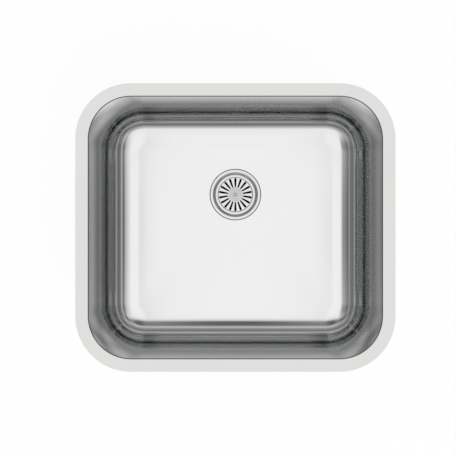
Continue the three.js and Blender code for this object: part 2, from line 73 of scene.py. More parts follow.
# %% Camera straight above the opening
CAMERA_HEIGHT = 1.288
camera_data = bpy.data.cameras.new("camera")
camera_data.sensor_width = 36.0
camera_data.lens = 55.56
camera_data.shift_x = -0.0162
camera_data.shift_y = -0.0011
camera_data.clip_end = 60.0
camera = bpy.data.objects.new("camera", camera_data)
camera.location = (0.0, 0.0, CAMERA_HEIGHT)
bpy.context.scene.collection.objects.link(camera)
bpy.context.scene.camera = camera
bpy.context.scene.view_settings.view_transform = "Standard"
print("camera", camera_data.lens, "mm lens,", CAMERA_HEIGHT, "m above the flange")

# %% [markdown]
# ## Helpers for finishes
# A node material is a small graph. These helpers add a node, join two sockets and make a principled
# shader, so that each finish below reads as a short recipe.


# %% Node helpers
def add_node(tree, kind, **settings):
    """A new node with some of its settings and inputs filled in."""
    node = tree.nodes.new(kind)
    for name, value in settings.items():
        if hasattr(node, name):
            setattr(node, name, value)
        else:
            node.inputs[name.replace("_", " ")].default_value = value
    return node


def join(tree, source, target):
    tree.links.new(source, target)


def new_finish(name):
    """An empty material with a principled shader, its tree and the shader's node."""
    finish = bpy.data.materials.new(name)
    finish.use_nodes = True
    tree = finish.node_tree
    shader = tree.nodes["Principled BSDF"]
    return finish, tree, shader


def metal(shader, roughness, anisotropy=0.0):
    shader.inputs["Metallic"].default_value = 1.0
    shader.inputs["Roughness"].default_value = roughness
    shader.inputs["Anisotropic"].default_value = anisotropy


def two_tones(tree, factor, dark, light):
    """A colour between two tones."""
    ramp = add_node(tree, "ShaderNodeMix", data_type="RGBA")
    ramp.inputs["A"].default_value = (*dark, 1.0)
    ramp.inputs["B"].default_value = (*light, 1.0)
    join(tree, factor, ramp.inputs["Factor"])
    return ramp.outputs["Result"]


def span(tree, factor, low, high):
    """A 0 to 1 value stretched between two numbers."""
    ramp = add_node(tree, "ShaderNodeMapRange")
    ramp.inputs["To Min"].default_value = low
    ramp.inputs["To Max"].default_value = high
    join(tree, factor, ramp.inputs["Value"])
    return ramp.outputs["Result"]


def grain(tree, source, scale, detail=3.0, stretch=(1.0, 1.0, 1.0)):
    """Noise on stretched coordinates: equal numbers give blotches, unequal ones give brush lines."""
    mapping = add_node(tree, "ShaderNodeMapping")
    mapping.inputs["Scale"].default_value = stretch
    join(tree, source, mapping.inputs["Vector"])
    noise = add_node(tree, "ShaderNodeTexNoise")
    noise.inputs["Scale"].default_value = scale
    noise.inputs["Detail"].default_value = detail
    join(tree, mapping.outputs["Vector"], noise.inputs["Vector"])
    return noise.outputs["Fac"]


def object_place(tree):
    """Where a point lies on its object, in metres."""
    return add_node(tree, "ShaderNodeTexCoord").outputs["Object"]


def maths(tree, operation, first, second=None, third=None):
    """A calculation on up to three values, each a number or a socket."""
    node = add_node(tree, "ShaderNodeMath", operation=operation)
    for socket, value in zip(node.inputs, (first, second, third)):
        if isinstance(value, (int, float)):
            socket.default_value = value
        elif value is not None:
            join(tree, value, socket)
    return node.outputs[0]


def raise_surface(tree, shader, height, strength, distance):
    """Small bumps that follow a 0 to 1 height, up to a distance in metres."""
    bump = add_node(tree, "ShaderNodeBump")
    bump.inputs["Strength"].default_value = strength
    bump.inputs["Distance"].default_value = distance
    join(tree, height, bump.inputs["Height"])
    join(tree, bump.outputs["Normal"], shader.inputs["Normal"])


print("helpers for finishes are ready")

# %% [markdown]
# ## Steel, brushed and turned
# Satin steel is mirror steel with thousands of fine parallel scratches. Seen at arm's length the scratches
# don't show one by one: they stretch every reflection sideways, which is what the anisotropy of the shader
# does, along the direction of a UV map that follows the brushing. A little noise stretched along the same
# direction gives the faint streaks that are still seen. The bowl takes four steels: a coarser flange, a
# tight bend at the rim painted almost black as a painted dark line of shade, smooth walls, and a smooth foot
# and floor. The last two carry painted shade and light by height: the floor is painted brightest, the foot
# darker, and from the foot up the wall is painted brighter again towards the rim.

# %% Steel finishes
# Painted shade and light by height: the bowl's tone changes from the floor to a little above it,
# and from the top of the foot to the rim; the foot is painted darker, the floor and the rim lighter.
FLOOR_Z, SHINE_TOP_Z, FOOT_TOP_Z, RIM_Z = -0.226, -0.214, -0.185, 0.0
FLOOR_TONE, PAINTED_SHADE_FOOT_TONE, PAINTED_LIGHT_RIM_TONE = (0.875, 0.877, 0.873), (0.715, 0.72, 0.725), (0.85, 0.855, 0.86)
# A streak is at most this much darker than the steel, and stretched so much along the brushing.
STREAK_SHADE, FULL = (0.975, 0.975, 0.975), (1.0, 1.0, 1.0)
STREAK_STRETCH = (0.02, 1.0, 1.0)
# What every drawn face of the bowl shares: anisotropy, streaks to the metre, strength and height of streaks.
DRAWN = (0.2, 2600.0, 0.06, 0.0000015)


def steel(name, tone, roughness, anisotropy, streaks, streak_depth, streak_height=0.0002, painted_shading=None):
    """Brushed steel: the map called lay runs along the brushing. The last argument, (low, high, tone up
    there), paints light and shade by height.
    """
    finish, tree, shader = new_finish(name)
    metal(shader, roughness, anisotropy)
    lay = add_node(tree, "ShaderNodeUVMap", uv_map="lay")
    tangent = add_node(tree, "ShaderNodeTangent", direction_type="UV_MAP", uv_map="lay")
    join(tree, tangent.outputs["Tangent"], shader.inputs["Tangent"])
    fine = grain(tree, lay.outputs["UV"], streaks, 4.0, STREAK_STRETCH)
    cloudy = grain(tree, lay.outputs["UV"], 9.0, 2.0)
    colour = add_node(tree, "ShaderNodeMix", data_type="RGBA", blend_type="MULTIPLY")
    colour.inputs["Factor"].default_value = 1.0
    colour.inputs["A"].default_value = (*tone, 1.0)
    join(tree, two_tones(tree, fine, STREAK_SHADE, FULL), colour.inputs["B"])
    # Painted shade and light: the tone is painted by the height on the object.
    if painted_shading:
        low, high, high_tone = painted_shading
        parts = add_node(tree, "ShaderNodeSeparateXYZ")
        join(tree, object_place(tree), parts.inputs[0])
        climb = add_node(tree, "ShaderNodeMapRange", From_Min=low, From_Max=high)
        join(tree, parts.outputs["Z"], climb.inputs["Value"])
        join(tree, two_tones(tree, climb.outputs["Result"], tone, high_tone), colour.inputs["A"])
    join(tree, colour.outputs["Result"], shader.inputs["Base Color"])
    join(tree, span(tree, cloudy, roughness * 0.9, roughness * 1.1), shader.inputs["Roughness"])
    raise_surface(tree, shader, fine, streak_depth, streak_height)
    return finish


# Name, tone, roughness, anisotropy, streaks to the metre and the strength of the streaks.
# The bowl's two steels also take painted shade and light by height: low height, high height, tone up there.
bowl_satin = steel("bowl_satin", FLOOR_TONE, 0.11, *DRAWN, (FLOOR_Z, SHINE_TOP_Z, PAINTED_SHADE_FOOT_TONE))
wall_satin = steel("wall_satin", PAINTED_SHADE_FOOT_TONE, 0.13, *DRAWN, (FOOT_TOP_Z, RIM_Z, PAINTED_LIGHT_RIM_TONE))
# The rim bend is painted almost black: a painted dark line of shade along the rim.
bend_painted_dark = steel("bend_painted_dark", (0.24, 0.24, 0.24), 0.3, *DRAWN)
flange_satin = steel("flange_satin", (0.75, 0.75, 0.74), 0.22, 0.4, 900.0, 0.04)
underside_satin = steel("underside_satin", (0.52, 0.525, 0.53), 0.27, 0.5, 700.0, 0.12)
strainer_steel = steel("strainer_turned", (0.84, 0.84, 0.835), 0.15, 0.5, 1400.0, 0.05)
disc_steel = steel("disc_brushed", (0.72, 0.72, 0.715), 0.26, 0.3, 1400.0, 0.08)
pin_steel = steel("pin_turned", (0.82, 0.82, 0.815), 0.14, 0.3, 1400.0, 0.04)
pipe_chrome = steel("pipe_chrome", (0.66, 0.665, 0.67), 0.08, 0.0, 300.0, 0.01)
print("steels:", [finish.name for finish in bpy.data.materials])

# %% [markdown]
# ## Plated castings, rubber, fibre and nylon
# The nuts are zinc castings with a thin dull plating, so they keep a faint cast grain. Rubber, pressed
# fibre and nylon aren't metal: their colour is their own, and what tells them apart is how rough they are
# and how their surface is broken up.


# %% Other finishes
def cast_plating(name):
    """A dull plated casting with fine pits."""
    finish, tree, shader = new_finish(name)
    metal(shader, 0.38)
    place = object_place(tree)
    pits = grain(tree, place, 700.0, 3.0)
    cloudy = grain(tree, place, 45.0, 3.0)
    join(tree, two_tones(tree, cloudy, (0.6, 0.61, 0.62), (0.7, 0.71, 0.72)), shader.inputs["Base Color"])
    join(tree, span(tree, cloudy, 0.3, 0.46), shader.inputs["Roughness"])
    raise_surface(tree, shader, pits, 0.25, 0.0002)
    return finish


def matt(name, dark, light, roughness, scale, depth, broad=30.0):
    """A dull solid colour with a fine grain and slow changes of tone."""
    finish, tree, shader = new_finish(name)
    shader.inputs["Metallic"].default_value = 0.0
    place = object_place(tree)
    pits = grain(tree, place, scale, 4.0)
    cloudy = grain(tree, place, broad, 3.0)
    join(tree, two_tones(tree, cloudy, dark, light), shader.inputs["Base Color"])
    join(tree, span(tree, cloudy, roughness - 0.07, roughness + 0.07), shader.inputs["Roughness"])
    raise_surface(tree, shader, pits, depth, 0.0004)
    return finish


def stippled_pad(name):
    """Deadening rubber: small domes all over, as its mould leaves them."""
    finish, tree, shader = new_finish(name)
    shader.inputs["Metallic"].default_value = 0.0
    place = object_place(tree)
    cells = add_node(tree, "ShaderNodeTexVoronoi", feature="SMOOTH_F1")
    cells.inputs["Scale"].default_value = 260.0
    join(tree, place, cells.inputs["Vector"])
    cloudy = grain(tree, place, 14.0, 4.0)
    grey = two_tones(tree, cloudy, (0.075, 0.079, 0.084), (0.11, 0.115, 0.12))
    join(tree, grey, shader.inputs["Base Color"])
    join(tree, span(tree, cloudy, 0.72, 0.9), shader.inputs["Roughness"])
    raise_surface(tree, shader, cells.outputs["Distance"], 0.5, 0.0012)
    return finish


nut_plating = cast_plating("nut_plating")
# Name, dark and light tone, roughness, grains to the metre, depth of the grain and clouds to the metre.
black_rubber = matt("black_rubber", (0.022, 0.022, 0.024), (0.038, 0.038, 0.04), 0.62, 900.0, 0.15)
grey_fibre = matt("grey_fibre", (0.36, 0.34, 0.31), (0.46, 0.44, 0.41), 0.85, 500.0, 0.5, 80.0)
white_nylon = matt("white_nylon", (0.78, 0.78, 0.75), (0.84, 0.84, 0.81), 0.42, 300.0, 0.05)
deadening_rubber = stippled_pad("deadening_rubber")
print("other finishes are ready")

# %% [markdown]
# ## Helpers for pieces
# Every piece is built in its final place, so its object stays at the origin. A map called lay is laid over
# each steel piece in metres: round pieces get the distance round the axis and the distance along the
# section, and the bowl gets the distance along its outline. Where a ring closes, the map is kept unbroken
# by adding one full turn.

# %% Sizes that the pieces share
OUTLET_Y = 0.071
WASTE_AXIS = Vector((0.0, OUTLET_Y, 0.0))
ROUND_STEPS = 96
# Lengths in metres, or shares of a turn, that count as nothing.
TINY, HAIR = 1e-6, 1e-5
print("the waste stands", OUTLET_Y, "m behind the middle of the opening")


# %% Piece helpers
def millimetres(*values):
    return tuple(value * 0.001 for value in values)


def verts_of(geometry):
    return [item for item in geometry if isinstance(item, bmesh.types.BMVert)]


def edges_at(verts):
    """The edges that meet the corners, each once and always in the same order."""
    return list(dict.fromkeys(edge for vertex in verts for edge in vertex.link_edges))


def bevelled(bm, geometry, width, segments, affect="EDGES", clamp=True):
    """Round off edges or corners with true arcs."""
    bmesh.ops.bevel(bm, geom=geometry, offset=width, offset_type="OFFSET", segments=segments, profile=0.5,
                    affect=affect, clamp_overlap=clamp, material=-1)


def round_plate(bm, length, breadth, corner_radius, segments):
    """One flat face with round corners, in the middle of the scene."""
    bmesh.ops.create_grid(bm, x_segments=1, y_segments=1, size=0.5)
    bmesh.ops.scale(bm, vec=(length, breadth, 1.0), verts=bm.verts[:])
    bevelled(bm, bm.verts[:], corner_radius, segments, "VERTICES", False)


def inset(bm, face, width):
    """Draw a smaller copy of the face's outline inside it. The face keeps the inside."""
    bmesh.ops.inset_region(bm, faces=[face], thickness=width, use_even_offset=True, use_boundary=True)


def spun(bm, geometry, angle, steps, rise=0.0, merge=False, copies=False):
    """Turn geometry round the waste's axis, rising a little at each step."""
    bmesh.ops.spin(bm, geom=geometry, cent=WASTE_AXIS, axis=(0.0, 0.0, 1.0), dvec=(0.0, 0.0, rise),
                   angle=angle, steps=steps, use_merge=merge, use_duplicate=copies)


def lay_round(bm, turn_length):
    """A map for a turned piece: a full turn is turn_length metres, then metres along the section."""
    layer = bm.loops.layers.uv.new("lay")
    for face in bm.faces:
        places = [loop.vert.co - WASTE_AXIS for loop in face.loops]
        turns = [math.atan2(place.y, place.x) / math.tau for place in places]
        wraps = max(turns) - min(turns) > 0.5
        for loop, place, turn in zip(face.loops, places, turns):
            whole = turn + 1.0 if wraps and turn < 0.0 else turn
            loop[layer].uv = (whole * turn_length, math.hypot(place.x, place.y) - place.z)


def face_outwards(bm):
    bmesh.ops.remove_doubles(bm, verts=bm.verts[:], dist=1e-7)
    bmesh.ops.recalc_face_normals(bm, faces=bm.faces[:])


def shaped_mesh(name, bm):
    """An object made of the bmesh, which is freed."""
    mesh = bpy.data.meshes.new(name)
    bm.to_mesh(mesh)
    bm.free()
    shape = bpy.data.objects.new(name, mesh)
    bpy.context.scene.collection.objects.link(shape)
    return shape


def make_piece(name, bm, body, nodes, finishes, sharp=50.0):
    """A finished piece: smooth, riding on its body, in place of its CAD nodes."""
    piece = shaped_mesh(name, bm)
    piece.data.shade_smooth()
    piece.data.set_sharp_from_angle(angle=math.radians(sharp))
    for finish in finishes:
        piece.data.materials.append(finish)
    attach(piece, body)
    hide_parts(*nodes)
    return piece


def keep_flats(piece):
    """Shade large faces flat and only the rounded edges round."""
    flats = piece.modifiers.new("flats", "WEIGHTED_NORMAL")
    flats.keep_sharp = True


def soften(piece, width, angle):
    """Round off the edges that turn by more than an angle, and keep the piece's flats flat."""
    bevel = piece.modifiers.new("edges", "BEVEL")
    bevel.width = width
    bevel.segments = 2
    bevel.limit_method = "ANGLE"
    bevel.angle_limit = math.radians(angle)
    bevel.harden_normals = False
    keep_flats(piece)


def report(piece):
    """Print the size and the triangles of a piece with its modifiers."""
    depsgraph = bpy.context.evaluated_depsgraph_get()
    shown = piece.evaluated_get(depsgraph)
    shown_mesh = shown.to_mesh()
    size = [round(value * 1000, 1) for value in shown.dimensions]
    count = sum(len(polygon.vertices) - 2 for polygon in shown_mesh.polygons)
    shown.to_mesh_clear()
    print(piece.name, "measures", size, "mm and has", count, "triangles")


print("helpers for pieces are ready")

# %% [markdown]
# ## The bowl
# On the real sink one sheet of steel is pressed into a deep box with a flat rim, large round corners and a
# wide bend into the floor. A subdivided cage would drift away from these radii. The operators that a
# pressing suggests keep them: a plate with round corners, inset by the width of the flange, pushed down to
# the floor, and then rounded at the rim. The floor is inset step by step and lowered, which draws the foot:
# a tight arc that runs out in a wide one. The photo's bright lines at the foot ask for these two arcs. The
# walls stand 1.2 mm further in than the solid's, because the dark line at the rim is that far in.

# %% Bowl sizes
FLANGE_LENGTH, FLANGE_BREADTH = millimetres(586, 528)
# The flange is inset in three strips, narrow ones at its edges. Its width holds the walls' set-in.
SET_IN = 0.0012
FLANGE_STRIPS = millimetres(1.2, 21.4, 1.6)
FLANGE_WIDTH, OPENING_CORNER_R = millimetres(24.2, 77.8)
BOWL_DEPTH, RIM_BEND_R, SHEET = millimetres(226, 1.5, 1.2)
FOOT_R, BLEND_R = millimetres(38, 130)
BLEND_TURN = math.radians(15)
FLOOR_FALL, OUTLET_HOLE_R = millimetres(2, 45)
RECESS_R, RECESS_DRAFT, RECESS_DEPTH, RECESS_BEND = millimetres(55, 0.5, 4, 0.6)
CORE_X = FLANGE_LENGTH / 2 - FLANGE_WIDTH - OPENING_CORNER_R
CORE_Y = FLANGE_BREADTH / 2 - FLANGE_WIDTH - OPENING_CORNER_R
CORNER_STEPS, SIDE_STEPS, RIM_STEPS, WALL_STEPS = 24, 36, 5, 8
FOOT_STEPS, BLEND_STEPS, FLOOR_STEPS, RECESS_STEPS = 22, 8, 14, 3
print("bowl opening", FLANGE_LENGTH - 2 * FLANGE_WIDTH, "by", FLANGE_BREADTH - 2 * FLANGE_WIDTH, "m")


# %% Plate, flange, walls and bends
def foot_profile():
    """Steps of the bend at the foot, as (distance from the wall, height over the floor)."""
    blend_rise = BLEND_R * (1 - math.cos(BLEND_TURN))
    foot_run = FOOT_R * (1 - math.sin(BLEND_TURN))
    foot_rise = FOOT_R * math.cos(BLEND_TURN)
    steps = []
    for step in range(FOOT_STEPS + 1):
        turn = (math.pi / 2 - BLEND_TURN) * step / FOOT_STEPS
        steps.append((FOOT_R * (1 - math.cos(turn)), blend_rise + foot_rise - FOOT_R * math.sin(turn)))
    for step in range(1, BLEND_STEPS + 1):
        turn = BLEND_TURN * (1 - step / BLEND_STEPS)
        run = BLEND_R * (math.sin(BLEND_TURN) - math.sin(turn))
        steps.append((foot_run + run, BLEND_R * (1 - math.cos(turn))))
    return steps


def pressed_walls(bm):
    """Returns the edges round the flat of the floor."""
    corner = OPENING_CORNER_R + FLANGE_WIDTH
    round_plate(bm, FLANGE_LENGTH, FLANGE_BREADTH, corner, CORNER_STEPS)
    sides = [edge for edge in bm.edges if edge.calc_length() > corner]
    bmesh.ops.subdivide_edges(bm, edges=sides, cuts=SIDE_STEPS - 1)
    bm.faces.ensure_lookup_table()
    plate = bm.faces[0]
    for width in FLANGE_STRIPS:
        inset(bm, plate, width)
    rim = list(plate.edges)
    foot = foot_profile()
    pushed = bmesh.ops.extrude_face_region(bm, geom=[plate])["geom"]
    floor = next(item for item in pushed if isinstance(item, bmesh.types.BMFace))
    bmesh.ops.translate(bm, vec=(0.0, 0.0, foot[0][1] - BOWL_DEPTH), verts=floor.verts[:])
    if plate.is_valid:
        bmesh.ops.delete(bm, geom=[plate], context="FACES_ONLY")
    for (run, height), (next_run, next_height) in zip(foot, foot[1:]):
        inset(bm, floor, next_run - run)
        bmesh.ops.translate(bm, vec=(0.0, 0.0, next_height - height), verts=floor.verts[:])
    bevelled(bm, rim, RIM_BEND_R, RIM_STEPS, "EDGES", False)
    upright = [e for e in bm.edges if abs(e.verts[0].co.z - e.verts[1].co.z) > BOWL_DEPTH / 2]
    bmesh.ops.subdivide_edges(bm, edges=upright, cuts=WALL_STEPS - 1)
    lowest = min(vertex.co.z for vertex in bm.verts)
    flats = [face for face in bm.faces if all(v.co.z < lowest + TINY for v in face.verts)]
    bmesh.ops.delete(bm, geom=flats, context="FACES_ONLY")
    return [e for e in bm.edges if e.is_boundary and e.verts[0].co.z < lowest + TINY]


def sloping_floor(bm, floor_edges):
    """Bridge the foot of the walls to the recess, and let the floor fall to the outlet."""
    count = len(floor_edges)
    place = Matrix.Translation((0.0, OUTLET_Y, -BOWL_DEPTH - FLOOR_FALL))
    made = bmesh.ops.create_circle(bm, cap_ends=False, segments=count, radius=RECESS_R, matrix=place)
    ring = edges_at(made["verts"])
    bridge = bmesh.ops.bridge_loops(bm, edges=floor_edges + ring)
    inner = set(made["verts"])
    ribs = [edge for edge in bridge["edges"] if len(inner & set(edge.verts)) == 1]
    cut = bmesh.ops.subdivide_edges(bm, edges=ribs, cuts=FLOOR_STEPS)
    for vertex in verts_of(cut["geom_inner"]):
        share = (-BOWL_DEPTH - vertex.co.z) / FLOOR_FALL
        vertex.co.z = -BOWL_DEPTH - FLOOR_FALL * share * share * (3.0 - 2.0 * share)
    return ring


def outlet_recess(bm, ring):
    """Push the inner ring down and in to the hole, then soften both bends of the recess."""
    bends = [ring]
    for radius, drop in ((RECESS_R - RECESS_DRAFT, RECESS_DEPTH), (OUTLET_HOLE_R, 0.0)):
        pushed = bmesh.ops.extrude_edge_only(bm, edges=bends[-1])["geom"]
        verts = verts_of(pushed)
        grown = radius / (verts[0].co - WASTE_AXIS).xy.length
        space = Matrix.Translation(-WASTE_AXIS)
        bmesh.ops.scale(bm, vec=(grown, grown, 1.0), space=space, verts=verts)
        bmesh.ops.translate(bm, vec=(0.0, 0.0, -drop), verts=verts)
        bends.append([item for item in pushed if isinstance(item, bmesh.types.BMEdge)])
    for bend in bends[:2]:
        bevelled(bm, bend, RECESS_BEND, RECESS_STEPS)


bowl = bmesh.new()
floor_edges = pressed_walls(bowl)
outlet_recess(bowl, sloping_floor(bowl, floor_edges))
print("bowl skin:", len(bowl.verts), "corners,", len(bowl.faces), "faces, floor ring of", len(floor_edges))

# %% [markdown]
# The brushing of a pressed bowl follows its outline on the flange and walls and runs straight along the
# floor. The lay map holds that: distance along the outline and down the wall, or plain X and Y on the
# floor. The flange is masked off and brushed coarser than the bowl, so its faces take a finish of their own.

# %% Brushing map and finishes of the bowl
OUTLINE_LENGTH = 4 * CORE_X + 4 * CORE_Y + math.tau * OPENING_CORNER_R
FLOOR_FINISH = 3


def outline_place(x, y):
    """Distance round the outline from the middle of the front, and distance out from the opening."""
    flat_x = max(-CORE_X, min(CORE_X, x))
    flat_y = max(-CORE_Y, min(CORE_Y, y))
    over_x, over_y = x - flat_x, y - flat_y
    outwards = math.hypot(over_x, over_y) - OPENING_CORNER_R
    turn = (math.atan2(over_y, over_x) + math.pi / 2) % math.tau
    corners = turn * OPENING_CORNER_R
    if turn < TINY or turn > math.tau - TINY:
        return (flat_x if flat_x >= 0 else flat_x + OUTLINE_LENGTH), outwards
    if turn < math.pi / 2 + TINY:
        return CORE_X + corners + (flat_y + CORE_Y), outwards
    if turn < math.pi + TINY:
        return CORE_X + 2 * CORE_Y + corners + (CORE_X - flat_x), outwards
    if turn < 1.5 * math.pi + TINY:
        return 3 * CORE_X + 2 * CORE_Y + corners + (CORE_Y - flat_y), outwards
    return 3 * CORE_X + 4 * CORE_Y + corners + (CORE_X + flat_x), outwards


def lay_bowl(bm):
    """The map called lay, and each face's finish by its height: flange, rim bend, wall, or foot and floor."""
    layer = bm.loops.layers.uv.new("lay")
    bands = (-HAIR, -RIM_BEND_R, foot_profile()[0][1] - BOWL_DEPTH)
    for face in bm.faces:
        if all(loop.vert.co.z < -BOWL_DEPTH + HAIR for loop in face.loops):
            for loop in face.loops:
                loop[layer].uv = (loop.vert.co.x, loop.vert.co.y)
            face.material_index = FLOOR_FINISH
            continue
        spots = [outline_place(loop.vert.co.x, loop.vert.co.y) for loop in face.loops]
        longest = max(spot[0] for spot in spots)
        for loop, (along, outwards) in zip(face.loops, spots):
            if longest - along > OUTLINE_LENGTH / 2:
                along += OUTLINE_LENGTH
            loop[layer].uv = (along, -outwards - loop.vert.co.z)
        middle_height = face.calc_center_median().z
        above = (band for band, low in enumerate(bands) if middle_height > low)
        face.material_index = next(above, FLOOR_FINISH)


bmesh.ops.recalc_face_normals(bowl, faces=bowl.faces[:])
top_face = max(bowl.faces, key=lambda face: face.calc_center_median().z)
if top_face.normal.z < 0:
    bmesh.ops.reverse_faces(bowl, faces=bowl.faces[:])
lay_bowl(bowl)
inside_finishes = [flange_satin, bend_painted_dark, wall_satin, bowl_satin]
bowl_finishes = inside_finishes + [underside_satin] * len(inside_finishes)
pressed_bowl = make_piece("pressed_bowl", bowl, "sink", ["sink_bowl"], bowl_finishes, 60.0)
sheet = pressed_bowl.modifiers.new("sheet", "SOLIDIFY")
sheet.thickness = SHEET
sheet.offset = -1.0
sheet.use_even_offset = True
sheet.use_quality_normals = True
sheet.material_offset = len(inside_finishes)
sheet.material_offset_rim = len(inside_finishes)
soften(pressed_bowl, 0.0003, 50.0)
report(pressed_bowl)

# %% [markdown]
# ## Turned pieces
# The strainer body, the seals, the pipe and the pin are all round. A section with its corners rounded, spun
# once round the axis, gives each of them. The section is drawn as one flat face, its corners are bevelled
# one radius at a time, and then only its outline is spun.


# %% Spin a section
def drawn_section(bm, corners):
    """One upright face with its corners at (radius, height) from the waste's axis, in millimetres."""
    places = [WASTE_AXIS + Vector(millimetres(radius, 0.0, z)) for radius, z in corners]
    return bm.faces.new([bm.verts.new(place) for place in places])


def turned(section, steps=ROUND_STEPS):
    """Section corners are (radius, height, rounding), all in millimetres."""
    bm = bmesh.new()
    corners = list(drawn_section(bm, [corner[:2] for corner in section]).verts)
    for rounding in sorted({corner[2] for corner in section if corner[2] > 0.0}):
        chosen = [vertex for vertex, corner in zip(corners, section) if corner[2] == rounding]
        bevelled(bm, chosen, rounding * 0.001, 2 if rounding < 0.5 else 4, "VERTICES")
    bmesh.ops.delete(bm, geom=bm.faces[:], context="FACES_ONLY")
    on_axis = [e for e in bm.edges if all((v.co - WASTE_AXIS).xy.length < TINY for v in e.verts)]
    bmesh.ops.delete(bm, geom=on_axis, context="EDGES")
    spun(bm, bm.verts[:] + bm.edges[:], math.tau, steps, merge=True)
    face_outwards(bm)
    return bm


def make_turned(name, section, body, node, finish, steps=ROUND_STEPS, turn_length=0.25):
    """A turned piece of one finish. Its map takes turn_length metres for a full turn."""
    bm = turned(section, steps)
    lay_round(bm, turn_length)
    piece = make_piece(name, bm, body, [node], [finish])
    keep_flats(piece)
    report(piece)


print("a full turn takes", ROUND_STEPS, "steps")

# %% [markdown]
# ## Strainer body
# The strainer is drawn from one disc of steel: a flat flange that sits flush in the floor's recess, a
# slope to the neck, a ledge for the basket, a straight cup and a flat seat with the outlet's nipple. Its
# cup and nipple carry rolled threads. A thread is a helix, so a small tooth is spun with a step upwards at
# each turn of the spin, and joins the body's mesh.

# %% Strainer section and threads
STRAINER_TOP = -228.6
SEAT = STRAINER_TOP - 43.0
NIPPLE_END = SEAT - 22.0
THREAD_DEPTH, THREAD_ROOT = 0.7, 0.1
CUP_SIDE, NIPPLE_SIDE = 40.5, 23.0
strainer_section = [
    (54.0, STRAINER_TOP, 0.4),
    (48.0, STRAINER_TOP, 1.0),
    (43.6, STRAINER_TOP - 3.2, 1.2),
    (43.6, STRAINER_TOP - 6.0, 0.8),
    (39.5, STRAINER_TOP - 6.0, 1.2),
    (39.5, STRAINER_TOP - 38.0, 3.0),
    (28.5, SEAT, 2.0),
    (20.8, SEAT, 0.8),
    (20.8, NIPPLE_END, 0.4),
    (NIPPLE_SIDE - THREAD_DEPTH, NIPPLE_END, 0.4),
    (NIPPLE_SIDE - THREAD_DEPTH, SEAT - 1.0, 0.3),
    (28.5, SEAT - 1.0, 1.5),
    (CUP_SIDE - THREAD_DEPTH, STRAINER_TOP - 38.5, 2.0),
    (CUP_SIDE - THREAD_DEPTH, STRAINER_TOP - 7.0, 0.3),
    (44.6, STRAINER_TOP - 7.0, 0.8),
    (44.6, STRAINER_TOP - 3.2, 1.0),
    (48.5, STRAINER_TOP - 1.0, 1.0),
    (54.0, STRAINER_TOP - 1.0, 0.4),
]


def rolled_thread(bm, side, low, high, pitch, steps=60):
    """A helical tooth round the waste's axis, from low to high, with its crest at radius side."""
    turns = int((high - low) / pitch)
    root = side - THREAD_DEPTH - THREAD_ROOT
    before = set(bm.faces)
    face = drawn_section(bm, [(root, low), (side, low + 0.4 * pitch), (side, low + 0.55 * pitch),
                              (root, low + 0.95 * pitch)])
    spun(bm, list(face.verts) + list(face.edges) + [face], math.tau * turns, steps * turns,
         pitch * 0.001 / steps)
    bmesh.ops.recalc_face_normals(bm, faces=[f for f in bm.faces if f not in before])


strainer = turned(strainer_section)
rolled_thread(strainer, CUP_SIDE, STRAINER_TOP - 37.0, STRAINER_TOP - 8.0, 2.3)
rolled_thread(strainer, NIPPLE_SIDE, NIPPLE_END + 0.6, SEAT - 1.6, 2.2)
lay_round(strainer, 0.25)
strainer_cup = make_piece("strainer_cup", strainer, "sink", ["strainer_body"],
                          [strainer_steel])
keep_flats(strainer_cup)
report(strainer_cup)

# %% [markdown]
# ## Seals, washers and the tail pipe
# These are plain rings whose edges are never quite sharp. Rubber rings bulge a little where they are
# squeezed, fibre keeps crisp edges, and the pipe has a flange rolled out at its top.

# %% Rings and pipe
make_turned("foam_seal", [(49.4, -229.9, 0.5), (49.4, -231.7, 0.5), (53.0, -231.7, 0.7), (53.0, -229.9, 0.7)],
            "sink", "flange_gasket", black_rubber)
make_turned("rubber_seal", [(44.9, -233.5, 0.6), (44.9, -236.5, 0.6), (56.0, -236.5, 1.3),
                            (56.0, -233.5, 1.3)],
            "sink", "under_gasket", black_rubber)
make_turned("slip_ring", [(40.8, -236.8, 0.15), (40.8, -237.8, 0.15), (55.0, -237.8, 0.15),
                          (55.0, -236.8, 0.15)],
            "sink", "friction_ring", grey_fibre)
make_turned("pipe_washer", [(17.8, -293.9, 0.3), (17.8, -295.9, 0.3), (22.4, -295.9, 0.6),
                            (22.4, -293.9, 0.6)],
            "sink", "tail_washer", white_nylon, 64, 0.12)
make_turned("tail_pipe", [(17.8, -296.2, 1.0), (17.8, -378.2, 0.3), (19.0, -378.2, 0.4), (19.0, -298.2, 0.9),
                          (22.4, -298.2, 0.6), (22.4, -296.2, 0.6)],
            "sink", "tailpiece", pipe_chrome, 96, 0.12)

# %% [markdown]
# ## Nuts with lugs
# Large waste nuts are turned by hand or with a strap, so they have lugs round their sides. A nut is a stack
# of closed loops: each loop is a circle with the same number of corners, the ones on the side have some of
# their corners pushed out for the lugs, and neighbouring loops are bridged until the stack closes on
# itself.


# %% Bridged loops
def round_loop(bm, radius, z, lug_count=0, lug_height=0.0, steps=ROUND_STEPS):
    """One loop of a nut, in millimetres. A lug is full for a third of its share of the turn and falls
    off over a sixth on both sides."""
    place = Matrix.Translation(WASTE_AXIS + Vector(millimetres(0.0, 0.0, z)))
    made = bmesh.ops.create_circle(bm, cap_ends=False, segments=steps, radius=radius * 0.001, matrix=place)
    for vertex in made["verts"]:
        out = vertex.co - WASTE_AXIS
        turn = (math.atan2(out.y, out.x) / math.tau) % 1.0
        share = (turn * lug_count + TINY) % 1.0
        over_low = share - 5 / 6 if share > 0.5 else 0.5 - share
        climb = min(1.0, max(0.0, over_low * 6.0))
        reach = (radius + lug_height * climb) / radius if lug_count else 1.0
        vertex.co.x *= reach
        vertex.co.y = OUTLET_Y + out.y * reach
    return edges_at(made["verts"])


